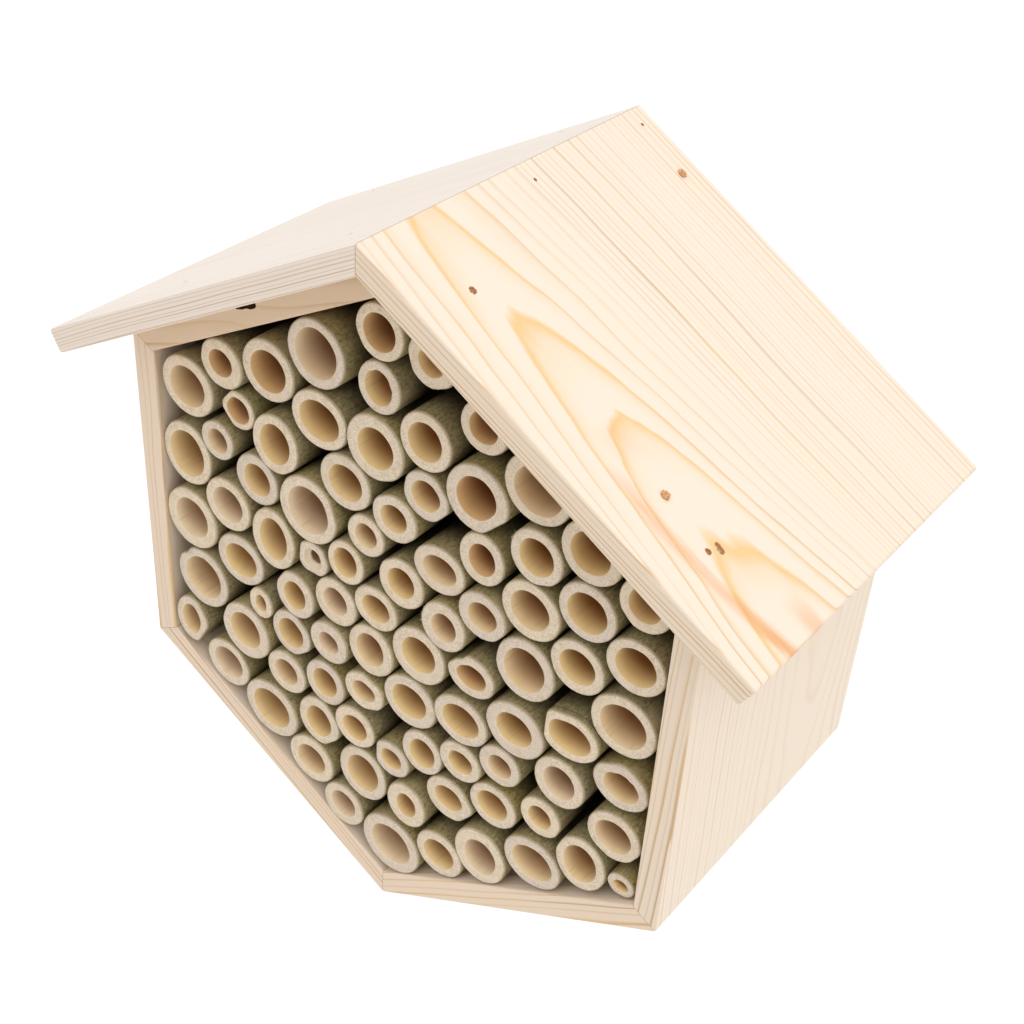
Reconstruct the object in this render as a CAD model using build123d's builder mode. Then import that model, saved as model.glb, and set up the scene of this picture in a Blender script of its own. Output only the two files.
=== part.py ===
from build123d import *
from math import cos, hypot, radians, sin, tan
import os

# Hexagonal insect hotel, in millimetres: a mitred pine frame, a two-board roof, a back panel,
# a bundle of bamboo tubes and a strap hanger.
# The origin is where the frame's apex touches the wall that the hotel hangs on.
# +X is right as seen from the front, +Y points into the wall and +Z is up.

# Frame
SIDE = 100.0                # outer side of the hexagon, which stands on a point
DEPTH = 94.0                # front edge to back edge
WALL = 7.2                  # frame board thickness
CORNER_ROUND = 1.6          # sanded outer corners of the three lower joints
EDGE_ROUND = 0.5            # sanded long edges

# Roof
ROOF = 6.8                  # roof board thickness
SLOPE_LENGTH = 118.0        # underside of a roof board, ridge to eave
OVERHANG = 11.6             # beyond the front of the frame
ROOF_ROUND = 0.8

# Back panel, set in from the back to leave room for the hanger
PANEL = 6.0
PANEL_INSET = 8.0
PANEL_GAP = 0.1

# Bamboo tubes, by rows from the top: x and z from the middle of the hexagon, width, height, wall
TUBES = [
    (-5, 79.5, 14.5, 14.5, 2.4), (10, 78, 14, 14, 3.2),
    (-24, 66.5, 18.5, 18.5, 2.6), (-5, 65, 13, 14, 2.4),
    (9, 56.5, 15.5, 15.5, 2.7), (25, 67, 13.5, 13.5, 2.7),

    (-55, 52, 14.5, 14, 3.2), (-40, 55, 17.5, 17, 2.8),
    (-24.5, 48.5, 18, 16, 2.6), (-5.5, 48.5, 18, 18, 3.4),
    (10, 41.5, 14, 13.5, 2.6), (24.5, 48, 18, 18, 3.3),
    (40, 58, 19, 18, 2.8), (56, 48.5, 16.5, 16.5, 2.8),

    (-68.5, 39.5, 18.5, 17.5, 3.0), (-51, 40.5, 11.5, 11, 1.8),
    (-38.5, 35, 15.5, 17, 2.7), (-15, 34.5, 16.5, 15.5, 2.8),
    (1, 31.5, 14, 13.5, 2.9), (26.5, 32, 13.5, 14.5, 2.8),
    (42, 40.5, 15, 15, 2.6), (56.5, 32.5, 16, 15.5, 2.5),
    (70.5, 41.5, 14, 14.5, 2.7), (70.5, 24.5, 16, 15, 2.5),

    (-71, 18, 18, 19, 2.6), (-58.5, 27.5, 11.5, 11.5, 2.2),
    (-45, 21.5, 15, 15, 2.8), (-27, 20.5, 19.5, 19.5, 2.9),
    (-8, 22, 12, 12, 2.5), (14.5, 22.5, 16, 13.5, 2.8),
    (28.5, 16.5, 14.5, 13.5, 2.8), (41, 24.5, 17, 16.5, 2.9),
    (55.5, 16, 15.5, 15, 2.7), (69, 5.5, 18.5, 17.5, 2.8),

    (-55.5, 9, 16.5, 16, 2.8), (-39.5, 4.5, 15.5, 18.5, 2.8),
    (-26, 5.5, 10.5, 10.5, 2.2), (-14.5, 10.5, 12, 13, 2.1),
    (3, 12.5, 14.5, 14.5, 2.9), (17, 6.5, 14, 14.5, 3.1),
    (41, 6.5, 17.5, 18, 2.8), (55, -5.5, 17.5, 14, 2.4),

    (-70, -2.5, 19, 19, 3.4), (-52, -8.5, 17, 15.5, 2.7),
    (-32.5, -8.5, 13.5, 14.5, 2.8), (-18, -4, 14.5, 14.5, 3.1),
    (-4.5, 1, 14.5, 13, 2.6), (9, -7, 17.5, 17, 3.3),
    (26, -3.5, 14.5, 12.5, 2.7), (39.5, -13.5, 18, 16.5, 3.5),
    (70.5, -12.5, 16, 14, 2.9), (71, -28.5, 15.5, 15, 2.6),

    (-67, -21.5, 19, 19, 2.8), (-45, -18.5, 8.5, 10, 2.2),
    (-34.5, -23, 14, 14.5, 2.5), (-20, -18.5, 13.5, 13, 3.2),
    (-6, -13.5, 15, 16, 2.9), (7.5, -23.5, 17.5, 16, 3.0),
    (23.5, -20, 17, 15, 2.7), (36, -27.5, 13, 12.5, 2.8),
    (54, -21.5, 15, 15.5, 2.8), (49.5, -37, 12.5, 12.5, 2.7),

    (-50.5, -31, 18, 18, 3.3), (-36, -38, 14, 14, 2.8),
    (-22, -34, 14, 14.5, 2.7), (-7, -28, 13.5, 12, 2.8),
    (11.5, -39, 13.5, 14, 2.5), (24.5, -33, 13.5, 12.5, 2.7),
    (35, -42.5, 15, 14, 2.6), (49, -53, 18, 16, 2.7),
    (62.5, -44, 15, 17, 2.6), (74.5, -43.5, 8, 7, 1.8),

    (-72, -38.5, 12.5, 15.5, 2.6), (-58.5, -47.5, 16.5, 15.5, 2.7),
    (-41.5, -55, 20, 18.5, 3.0), (-24.5, -49.5, 15, 16, 2.9),
    (-10.5, -43, 14, 13.5, 2.7), (1.5, -46.5, 12.5, 11.5, 2.6),
    (21, -49, 15.5, 14, 3.1), (32, -62.5, 17, 18, 3.3),

    (-26.5, -65.5, 16.5, 16, 3.1), (-15, -74.5, 14.5, 14.5, 2.8),
    (-8.5, -59, 17, 18, 2.9), (7.5, -60, 13.5, 15, 3.4),
    (2, -78.5, 20.5, 19.5, 3.3), (18.5, -71.5, 16, 15, 2.8),
]
TUBE_GAP = 0.15             # least gap between two tubes, and between a tube and the frame
TUBES_PER_NODE = 2
# The bundle was pushed in a little askew, so that its mouths lie deepest at the upper right.
MOUTH_DEPTH = 0.9           # behind the frame's front edge, in the middle
MOUTH_SKEW = 1.0            # deeper by this much at the upper right wall
MOUTH_STAGGER = (0.0, 0.35, -0.3, 0.15, -0.15, 0.45, -0.4)

# Brads and pins, which fix the roof. Each place is the distance down the slope from the ridge,
# then back from the frame's front edge.
BRAD_LENGTH = 12.0
BRAD_RADIUS = 0.5
HEAD_RADIUS = 0.8
HEAD_THICKNESS = 0.8
HEAD_SUNK = 0.4
BRAD_GAP = 0.03
RIGHT_BRADS = [(21, 5), (21, 87), (80, 6.5), (96, 8), (93, 88)]
LEFT_BRADS = [(20, 6), (22, 88), (82, 5), (94, 87)]
RIDGE_PINS = [(5.2, 44.5), (5, 89)]
PIN_RADIUS = 0.3
PIN_HEAD_RADIUS = 0.4

# Hanger: a strap curled round the flat side of a D ring, and screwed to the panel
STRAP = 0.8
STRAP_WIDTH = 10.0
STRAP_LENGTH = 30.0         # from the ring's axis to the strap's lower end
STRAP_CORNER = 2.0
WIRE = 1.8                  # diameter of the ring's wire
WIRE_GAP = 0.25             # radial, in the curl, and between the hanging ring and the strap
RING_WIDTH = 16.0           # between the middles of the wire's two legs
RING_DROP = 13.0            # from the ring's axis to the middle of the wire at its bow
RING_CORNER = 2.2
HANGER_DROP = 30.0          # from the frame's apex to the ring's axis
SCREW_DROPS = (18.5, 25.5)  # from the ring's axis
SCREW_RADIUS = 1.5
SCREW_LENGTH = 5.4          # under the head, through the strap and into the panel
SCREW_HOLE = 1.7
SCREW_HEAD_RADIUS = 2.8
SCREW_HEAD = 1.3
SLOT_WIDTH = 0.9
SLOT_DEPTH = 0.6

# Worked out
MITRE = tan(radians(30))
INNER_SIDE = SIDE - WALL / cos(radians(30))
INNER_APOTHEM = INNER_SIDE * cos(radians(30))
CENTRE = (0, -SIDE)
RIDGE_TOP = ROOF / cos(radians(30))
PANEL_BACK = PANEL_INSET
PANEL_FRONT = PANEL_INSET + PANEL
TUBE_LENGTH = DEPTH - PANEL_FRONT
RING_AXIS = PANEL_BACK - STRAP - WIRE_GAP - WIRE / 2

os.makedirs("parts", exist_ok=True)


def save(built, name):
    """Label a finished piece and write it to its STEP file."""
    built.part.label = name
    export_step(built.part, f"parts/{name}.step")


def roof_plane(side):
    """The top of a roof board, side 1 for right or -1 for left: x runs down the slope."""
    return Plane(
        origin=(0, 0, RIDGE_TOP),
        x_dir=(side * cos(radians(30)), 0, -sin(radians(30))),
        z_dir=(side * sin(radians(30)), 0, cos(radians(30))),
    )


def brad_places(side, places):
    """Turn distances down the slope and back from the front into places on the roof plane."""
    return [(slope, side * (back - DEPTH)) for slope, back in places]


def brads(side, places, radius, head_radius, grow=0.0, mode=Mode.ADD):
    """Add the brads at these places, or cut their holes, which reach up to the roof's surface."""
    top = 0.0 if grow else -HEAD_SUNK
    with BuildSketch(roof_plane(side).offset(top)) as heads:
        with Locations(*brad_places(side, places)):
            Circle(head_radius + grow)
    extrude(heads.sketch, amount=-(HEAD_SUNK + HEAD_THICKNESS + top), mode=mode)
    with BuildSketch(roof_plane(side).offset(top)) as shanks:
        with Locations(*brad_places(side, places)):
            Circle(radius + grow)
    extrude(shanks.sketch, amount=-(HEAD_SUNK + BRAD_LENGTH + grow + top), mode=mode)


def brad_holes(side):
    """Cut the holes of one side's brads and of the ridge pins."""
    places = RIGHT_BRADS if side > 0 else LEFT_BRADS
    brads(side, places, BRAD_RADIUS, HEAD_RADIUS, BRAD_GAP, Mode.SUBTRACT)
    brads(1, RIDGE_PINS, PIN_RADIUS, PIN_HEAD_RADIUS, BRAD_GAP, Mode.SUBTRACT)


def frame_board(name, turn, roof_side=0):
    """One mitred board. It faces turn degrees from +X, and roof_side says which roof board it carries."""
    with BuildPart() as board:
        with BuildSketch(Plane.XZ) as section:
            with Locations(CENTRE):
                RegularPolygon(SIDE, 6, rotation=30)
            fillet(section.vertices().sort_by(Axis.Y)[:3], CORNER_ROUND)
            with Locations(CENTRE):
                RegularPolygon(INNER_SIDE, 6, rotation=30, mode=Mode.SUBTRACT)
            with Locations(Location((*CENTRE, 0), (0, 0, turn))):
                Polygon((0, 0), (SIDE, -SIDE * MITRE), (SIDE, SIDE * MITRE), align=None,
                        mode=Mode.INTERSECT)
        extrude(amount=DEPTH)
        across = board.edges().filter_by(Axis.Y, reverse=True)
        fillet(across.filter_by(lambda edge: edge.length > INNER_SIDE / 2), EDGE_ROUND)
        if roof_side:
            brad_holes(roof_side)
    save(board, name)


def roof_board(name, side):
    """One roof board, mitred at the ridge and square at the eave."""
    down = (side * cos(radians(30)), -sin(radians(30)))
    out = (side * sin(radians(30)), cos(radians(30)))
    eave = (down[0] * SLOPE_LENGTH, down[1] * SLOPE_LENGTH)
    eave_top = (eave[0] + out[0] * ROOF, eave[1] + out[1] * ROOF)
    with BuildPart() as board:
        with BuildSketch(Plane.XZ):
            Polygon((0, 0), eave, eave_top, (0, RIDGE_TOP), align=None)
        extrude(amount=DEPTH + OVERHANG)
        fillet(board.edges().filter_by(lambda edge: abs(edge.center().X) > ROOF), ROOF_ROUND)
        brad_holes(side)
    save(board, name)


def back_panel():
    """The panel that closes the frame, with pilot holes for the hanger's screws."""
    with BuildPart() as panel:
        with BuildSketch(Plane.XZ.offset(PANEL_BACK)):
            with Locations(CENTRE):
                RegularPolygon(INNER_SIDE - PANEL_GAP, 6, rotation=30)
        extrude(amount=PANEL)
        with BuildSketch(Plane.XZ.offset(PANEL_BACK)):
            with Locations(*screw_places()):
                Circle(SCREW_RADIUS)
        extrude(amount=SCREW_LENGTH - STRAP, mode=Mode.SUBTRACT)
    save(panel, "back_panel")


def reach(tube, direction_x, direction_z):
    """How far an oval tube reaches from its middle in a direction."""
    return hypot(tube[2] / 2 * direction_x, tube[3] / 2 * direction_z)


def settle(tubes):
    """Push tubes that would overlap apart, and off the frame, by small equal steps."""
    middles = [[tube[0], tube[1]] for tube in tubes]
    moved = 1.0
    while moved > 0.002:
        steps = [[0.0, 0.0] for _ in tubes]
        for i, first in enumerate(tubes):
            for j, second in enumerate(tubes[:i]):
                gap_x = middles[i][0] - middles[j][0]
                gap_z = middles[i][1] - middles[j][1]
                apart = hypot(gap_x, gap_z)
                along_x = gap_x / apart
                along_z = gap_z / apart
                touch = reach(first, along_x, along_z) + reach(second, along_x, along_z) + TUBE_GAP
                push = max(touch - apart, 0.0) / 4
                steps[i][0] += push * along_x
                steps[i][1] += push * along_z
                steps[j][0] -= push * along_x
                steps[j][1] -= push * along_z
            for turn in range(0, 360, 60):
                out_x = cos(radians(turn))
                out_z = sin(radians(turn))
                edge = middles[i][0] * out_x + middles[i][1] * out_z + reach(first, out_x, out_z)
                push = max(edge + TUBE_GAP - INNER_APOTHEM, 0.0) / 2
                steps[i][0] -= push * out_x
                steps[i][1] -= push * out_z
        for middle, step in zip(middles, steps):
            middle[0] += step[0]
            middle[1] += step[1]
        moved = max(hypot(*step) for step in steps)
    return middles


def mouth_depth(index, x, z):
    """How far behind the frame's front edge a tube's mouth lies."""
    askew = (x * cos(radians(60)) + z * sin(radians(60))) / INNER_APOTHEM
    return MOUTH_DEPTH + MOUTH_SKEW * askew + MOUTH_STAGGER[index % len(MOUTH_STAGGER)]


def bamboo_tube(tube, middle, length):
    """One open bamboo tube, standing on the back panel."""
    width, height, wall = tube[2:]
    with BuildSketch(Plane.XZ.offset(PANEL_FRONT)) as section:
        with Locations((middle[0], middle[1] - SIDE)):
            Ellipse(width / 2, height / 2)
            Ellipse(width / 2 - wall, height / 2 - wall, mode=Mode.SUBTRACT)
    extrude(section.sketch, amount=length)


def bamboo():
    """All the tubes, a pair of neighbours to a node."""
    middles = settle(TUBES)
    for first in range(0, len(TUBES), TUBES_PER_NODE):
        with BuildPart() as pair:
            for index in range(first, first + TUBES_PER_NODE):
                x, z = middles[index]
                bamboo_tube(TUBES[index], middles[index], TUBE_LENGTH - mouth_depth(index, x, z))
        save(pair, f"bamboo_pair_{first // TUBES_PER_NODE + 1:02d}")


def roof_fasteners():
    """The brads of each roof board, and the pins beside the ridge."""
    for name, side, places in (("roof_brads_right", 1, RIGHT_BRADS), ("roof_brads_left", -1, LEFT_BRADS)):
        with BuildPart() as group:
            brads(side, places, BRAD_RADIUS, HEAD_RADIUS)
        save(group, name)
    with BuildPart() as pins:
        brads(1, RIDGE_PINS, PIN_RADIUS, PIN_HEAD_RADIUS)
    save(pins, "ridge_pins")


def screw_places():
    """The two screws' places, below the ring's axis."""
    return [(0, -HANGER_DROP - drop) for drop in SCREW_DROPS]


def hanger_strap():
    """A steel strap that lies on the panel and curls over the ring's straight side."""
    inner = WIRE / 2 + WIRE_GAP
    outer = inner + STRAP
    with BuildPart() as strap:
        with BuildSketch(Plane.YZ):
            with Locations((-RING_AXIS, -HANGER_DROP)):
                Circle(outer)
                Circle(inner, mode=Mode.SUBTRACT)
                Rectangle(outer, outer, align=(Align.MAX, Align.MAX), mode=Mode.SUBTRACT)
            with Locations((-PANEL_BACK, -HANGER_DROP)):
                Rectangle(STRAP, STRAP_LENGTH, align=(Align.MIN, Align.MAX))
        extrude(amount=STRAP_WIDTH / 2, both=True)
        fillet(strap.edges().filter_by(Axis.Y).group_by(Axis.Z)[0], STRAP_CORNER)
        with BuildSketch(Plane.XZ.offset(PANEL_BACK - STRAP)):
            with Locations(*screw_places()):
                Circle(SCREW_HOLE)
        extrude(amount=STRAP, mode=Mode.SUBTRACT)
    save(strap, "hanger_strap")


def hanger_ring():
    """The D ring, hanging down, with its straight side in the strap's curl."""
    axis = (0, -RING_AXIS, -HANGER_DROP)
    bow = RING_WIDTH / 2
    straight = RING_DROP - bow
    with BuildPart() as ring:
        with BuildLine(Plane(origin=axis, x_dir=(1, 0, 0), z_dir=(0, -1, 0))) as half:
            FilletPolyline((0, 0), (bow, 0), (bow, -straight), radius=RING_CORNER)
            CenterArc((0, -straight), bow, 0, -90)
        with BuildSketch(Plane(origin=axis, z_dir=(1, 0, 0))):
            Circle(WIRE / 2)
        sweep(path=half.wire())
        mirror(about=Plane.YZ)
    save(ring, "hanger_ring")


def hanger_screws():
    """Two slotted pan-head screws."""
    with BuildPart() as screws:
        with BuildSketch(Plane.XZ.offset(PANEL_BACK - STRAP)):
            with Locations(*screw_places()):
                Circle(SCREW_RADIUS)
        extrude(amount=SCREW_LENGTH)
        with BuildSketch(Plane.XZ.offset(PANEL_BACK - STRAP)):
            with Locations(*screw_places()):
                Circle(SCREW_HEAD_RADIUS)
        extrude(amount=-SCREW_HEAD)
        rims = screws.edges().group_by(Axis.Y)[-1]
        fillet(rims, SCREW_HEAD / 2)
        with BuildSketch(Plane.XZ.offset(PANEL_BACK - STRAP - SCREW_HEAD)):
            with Locations(*screw_places()):
                Rectangle(3 * SCREW_HEAD_RADIUS, SLOT_WIDTH)
        extrude(amount=SLOT_DEPTH, mode=Mode.SUBTRACT)
    save(screws, "hanger_screws")


frame_board("wall_right", 0)
frame_board("wall_upper_right", 60, roof_side=1)
frame_board("wall_upper_left", 120, roof_side=-1)
frame_board("wall_left", 180)
frame_board("wall_lower_left", 240)
frame_board("wall_lower_right", 300)
roof_board("roof_right", 1)
roof_board("roof_left", -1)
back_panel()
bamboo()
roof_fasteners()
hanger_strap()
hanger_ring()
hanger_screws()
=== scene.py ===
"""The looks of the insect hotel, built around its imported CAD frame.

Metres, but for values said to be in millimetres. +X is right, +Y into the wall and +Z up.
"""

from math import cos, hypot, pi, radians, sin, tan, tau
from random import Random

import bmesh
import bpy
from mathutils import Matrix, Vector, noise


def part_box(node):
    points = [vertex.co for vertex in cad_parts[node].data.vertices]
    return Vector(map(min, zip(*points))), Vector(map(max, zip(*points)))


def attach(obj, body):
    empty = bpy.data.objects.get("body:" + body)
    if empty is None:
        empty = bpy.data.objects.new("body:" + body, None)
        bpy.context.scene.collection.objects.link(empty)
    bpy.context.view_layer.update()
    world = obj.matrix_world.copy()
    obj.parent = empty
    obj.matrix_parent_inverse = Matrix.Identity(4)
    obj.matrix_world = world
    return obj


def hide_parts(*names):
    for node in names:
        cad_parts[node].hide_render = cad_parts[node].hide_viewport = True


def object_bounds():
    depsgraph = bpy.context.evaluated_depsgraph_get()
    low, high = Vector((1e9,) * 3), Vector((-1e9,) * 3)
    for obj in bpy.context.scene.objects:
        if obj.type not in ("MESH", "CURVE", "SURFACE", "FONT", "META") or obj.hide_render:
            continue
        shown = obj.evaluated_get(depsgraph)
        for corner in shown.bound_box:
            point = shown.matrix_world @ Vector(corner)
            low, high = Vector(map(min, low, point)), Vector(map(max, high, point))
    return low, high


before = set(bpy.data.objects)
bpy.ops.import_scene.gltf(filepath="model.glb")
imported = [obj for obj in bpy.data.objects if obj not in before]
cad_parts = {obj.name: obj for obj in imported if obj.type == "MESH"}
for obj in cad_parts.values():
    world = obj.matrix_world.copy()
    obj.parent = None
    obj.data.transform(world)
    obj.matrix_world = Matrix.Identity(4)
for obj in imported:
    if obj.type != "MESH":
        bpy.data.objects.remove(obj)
cad_low, cad_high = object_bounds()

MM = 0.001
TOLERANCE = 0.01 * MM       # a smaller difference than this does not count
WELD = 0.001 * MM           # points nearer to each other than this are one

# Camera
CAMERA_PLACE = (0.20019, -0.32926, 0.15804)
CAMERA_AZIMUTH = radians(34.97)
CAMERA_ELEVATION = radians(35.80)
CAMERA_ROLL = radians(4.017)
LENS = 56.62                # millimetres
SENSOR = 36.0

# Studio
SKY_HORIZON = 0.35
SKY_ZENITH = 1.45
KEY_POWER = 1.8             # watts
SIDE_POWER = 0.9
KEY_OFFSET = (0.55, -0.45, 0.95)    # from the hotel's middle
SIDE_OFFSET = (0.95, -0.10, 0.15)
KEY_COLOUR = (1.0, 0.985, 0.96)
LIGHT_SIZE = 0.7
FLOOR_DROP = 0.30           # below the hotel, which hangs
FLOOR_SIZE = 4.0

# Boards: the way each one faces, in degrees from +X towards +Z
WALL_TURNS = {
    "wall_right": 0,
    "wall_upper_right": 60,
    "wall_upper_left": 120,
    "wall_left": 180,
    "wall_lower_left": 240,
    "wall_lower_right": 300,
}
ROOF_TURNS = {"roof_right": 60, "roof_left": 120}
FRAME_SIDE = 100.0          # millimetres, the hexagon's outer side; its top corner is the origin
ROOF_EDGE_ROUND = 0.8 * MM
WALL_EDGE_ROUND = 0.5 * MM
FLAT_AREA = 1e-4            # square metres: more than the strips round a board's edges, less than its faces
SAME_WAY = 0.9999           # the least cosine between faces that count as one plane
SHARP = radians(28)         # an edge that turns further than this is a crease

# Marks in the boards, in millimetres
BARK_VOID = [               # its outline: along the board, and under its outer face
    (57.2, -0.6), (48.8, -0.6), (49.0, 2.6), (49.9, 3.1),
    (51.6, 3.1), (53.0, 2.6), (54.8, 2.6), (56.8, 2.2),
]
BARK_MIDDLE = 52.6          # the place along the board that the void narrows to
BARK_LEVELS = ((-1.0, 1.0), (1.5, 0.9), (4.0, 0.4))     # depth behind the front edge, and size
BARE_PITS = [               # nail holes by the eave: down the slope, across, radius
    (90.6, -89.0, 0.65),
    (90.9, -85.7, 0.6),
]
BARE_PIT_DEPTH = 0.6
PIT_LEVELS = ((-0.05, 1.0), (0.15, 1.02), (0.4, 1.12), (0.9, 1.30))    # height over the head, and size
PIT_SPOKES = 18
PIT_SEED = 21


# ---------------------------------------------------------------- shader arithmetic

class Field:
    """A number that varies over a surface: a node socket that takes part in sums."""

    def __init__(self, tree, socket):
        self.tree = tree
        self.socket = socket

    def feed(self, target, value):
        if isinstance(value, Field):
            self.tree.links.new(value.socket, target)
        else:
            target.default_value = value

    def math(self, operation, *others, clamp=False):
        node = self.tree.nodes.new("ShaderNodeMath")
        node.operation = operation
        node.use_clamp = clamp
        self.tree.links.new(self.socket, node.inputs[0])
        for place, other in enumerate(others, 1):
            self.feed(node.inputs[place], other)
        return Field(self.tree, node.outputs[0])

    def __add__(self, other):
        return self.math("ADD", other)

    def __mul__(self, other):
        return self.math("MULTIPLY", other)

    def __sub__(self, other):
        return self.math("SUBTRACT", other)

    def __rsub__(self, other):
        return self.math("MULTIPLY", -1.0).math("ADD", other)

    def __truediv__(self, other):
        return self.math("DIVIDE", other)

    def power(self, exponent):
        return self.math("POWER", exponent)

    def fraction(self):
        return self.math("FRACT")

    def size(self):
        return self.math("ABSOLUTE")

    def limit(self):
        return self.math("ADD", 0.0, clamp=True)

    def ramp(self, low, high):
        """0 below low and 1 above high, or the other way round if low is the higher."""
        node = self.tree.nodes.new("ShaderNodeMapRange")
        node.interpolation_type = "SMOOTHSTEP"
        self.tree.links.new(self.socket, node.inputs["Value"])
        node.inputs["From Min"].default_value = min(low, high)
        node.inputs["From Max"].default_value = max(low, high)
        node.inputs["To Min"].default_value = 0.0 if low < high else 1.0
        node.inputs["To Max"].default_value = 1.0 if low < high else 0.0
        return Field(self.tree, node.outputs["Result"])


def linear(red, green, blue):
    """A colour as seen on a screen, from 0 to 255, as the shader's linear colour."""
    parts = [((c / 255 + 0.055) / 1.055) ** 2.4 if c > 10 else c / 3295 for c in (red, green, blue)]
    return (*parts, 1.0)


class Look:
    """A material under construction, with the place on the object in millimetres as fields."""

    def __init__(self, name, roughness, metallic=0.0, specular=0.3):
        self.material = bpy.data.materials.new(name)
        self.material.use_nodes = True
        self.tree = self.material.node_tree
        self.shader = self.tree.nodes["Principled BSDF"]
        self.shader.inputs["Roughness"].default_value = roughness
        self.shader.inputs["Metallic"].default_value = metallic
        self.shader.inputs["Specular IOR Level"].default_value = specular
        place = self.tree.nodes.new("ShaderNodeTexCoord")
        split = self.tree.nodes.new("ShaderNodeSeparateXYZ")
        self.tree.links.new(place.outputs["Object"], split.inputs[0])
        self.x, self.y, self.z = (Field(self.tree, split.outputs[k]) * (1 / MM) for k in range(3))

    def attribute(self, name):
        node = self.tree.nodes.new("ShaderNodeAttribute")
        node.attribute_name = name
        return Field(self.tree, node.outputs["Fac"])

    def vector(self, x, y, z):
        node = self.tree.nodes.new("ShaderNodeCombineXYZ")
        for socket, value in zip(node.inputs, (x, y, z)):
            self.x.feed(socket, value)
        return node.outputs[0]

    def noise(self, x, y, z, detail=2.0, roughness=0.5):
        """Smooth noise about 0.5, one feature to a unit."""
        node = self.tree.nodes.new("ShaderNodeTexNoise")
        self.tree.links.new(self.vector(x, y, z), node.inputs["Vector"])
        node.inputs["Scale"].default_value = 1.0
        node.inputs["Detail"].default_value = detail
        node.inputs["Roughness"].default_value = roughness
        return Field(self.tree, node.outputs[0])

    def dots(self, x, y, z):
        """The distance to the nearest of many scattered points, about one to a unit."""
        node = self.tree.nodes.new("ShaderNodeTexVoronoi")
        self.tree.links.new(self.vector(x, y, z), node.inputs["Vector"])
        node.inputs["Scale"].default_value = 1.0
        return Field(self.tree, node.outputs["Distance"])

    def random(self, number):
        """A number from 0 to 1 that is the same wherever the whole part of the input is."""
        node = self.tree.nodes.new("ShaderNodeTexWhiteNoise")
        node.noise_dimensions = "1D"
        self.tree.links.new(number.math("FLOOR").socket, node.inputs["W"])
        return Field(self.tree, node.outputs["Value"])

    def mix(self, first, second, share):
        node = self.tree.nodes.new("ShaderNodeMix")
        node.data_type = "RGBA"
        self.x.feed(node.inputs["Factor"], share)
        for socket, colour in zip((node.inputs[6], node.inputs[7]), (first, second)):
            if isinstance(colour, tuple):
                socket.default_value = colour
            else:
                self.tree.links.new(colour, socket)
        return node.outputs[2]

    def finish(self, colour, height=None, depth=0.1 * MM, strength=1.0):
        """Paint the surface, and raise it by a field of about 0 to 1 times a depth."""
        if isinstance(colour, tuple):
            self.shader.inputs["Base Color"].default_value = colour
        else:
            self.tree.links.new(colour, self.shader.inputs["Base Color"])
        if height is not None:
            bump = self.tree.nodes.new("ShaderNodeBump")
            bump.inputs["Distance"].default_value = depth
            bump.inputs["Strength"].default_value = strength
            self.tree.links.new(height.socket, bump.inputs["Height"])
            self.tree.links.new(bump.outputs["Normal"], self.shader.inputs["Normal"])
        return self.material


# ---------------------------------------------------------------- wood

CREAM = linear(234, 218, 200)
BLUSH = linear(233, 213, 192)
# the left roof's paler colour: partly the board's own colour, partly a painted sheen of the board seen at a
# grazing angle
MILK = linear(236, 226, 217)
SAWN = linear(208, 180, 148)
FLAME = linear(229, 194, 140)
TAN = linear(196, 164, 128)
STAIN = linear(222, 150, 74)
SEAM = linear(150, 118, 84)
BARK = linear(58, 34, 24)
TORN = linear(184, 132, 86)
SEAM_WIDTH = 0.16           # millimetres
WALL_SHADES = {             # the boards that differ from the rest: shade, and contrast of the rings
    "wall_right": (CREAM, 0.75),
    "wall_upper_left": (linear(224, 198, 170), 1.2),
}
WALL_RINGS = {              # pith (across, under), its lean along the board, ring width, seed
    "wall_right": ((-30.0, 70.0), (0.02, 0.01), 1.25, 3.0),
    "wall_upper_right": ((-70.0, 25.0), (-0.05, 0.02), 1.9, 11.0),
    "wall_upper_left": ((-52.0, 22.0), (0.04, 0.06), 2.0, 19.0),
    "wall_left": ((-78.0, 30.0), (0.03, -0.03), 2.4, 23.0),
    "wall_lower_left": ((-90.0, 26.0), (0.02, 0.04), 1.9, 31.0),
    "wall_lower_right": ((-82.0, 24.0), (-0.05, -0.05), 2.1, 41.0),
}


def board_fields(look, turn, surface, down=1):
    """Millimetres along a board's grain, across it, and under its outer face."""
    out_x, out_z = cos(radians(turn)), sin(radians(turn))
    along = (look.z * out_x - look.x * out_z) * down
    under = surface - (look.x * out_x + look.z * out_z)
    return along, look.y, under


def plain_rings(look, along, across, under, pith, lean, width, seed):
    """Ring number in a board whose pith runs beside it: pith is (across, under) in millimetres."""
    sideways = across - pith[0] + along * lean[0]
    below = under - pith[1] + along * lean[1]
    wander = look.noise(along * 0.012 + seed, across * 0.03, under * 0.03) * (2.2 * width)
    radius = (sideways * sideways + below * below).power(0.5) + wander
    return radius * (-1 / width)


def flame_rings(look, along, across, under):
    """Ring number on the right roof board, whose rings end in nested arches along one line."""
    middle = -85.0
    sway = look.noise(along * 0.02 + 7.0, across * 0.02, under * 0.02) - 0.5
    off = across - middle + sway * 3.0
    flat = off.size()
    near = flat.math("MINIMUM", 45.0)
    far = flat - near
    beyond = off.ramp(0.5, -0.5)
    fall = near * near * (beyond * 0.0030 + 0.0056) + far * 0.52
    rise = along * 0.0245 + along * along * 0.00006 + 1.33
    share = (flat / 45.0).power(4.0) * -1.0
    reach = share.math("EXPONENT")
    wander = look.noise(along * 0.012, across * 0.10, under * 0.10) - 0.5
    ripple = look.noise(along * 0.05, across * 0.25, under * 0.25 + 5.0) - 0.5
    return rise * reach + under * 0.75 - fall + wander * 0.7 + ripple * 0.12


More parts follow.
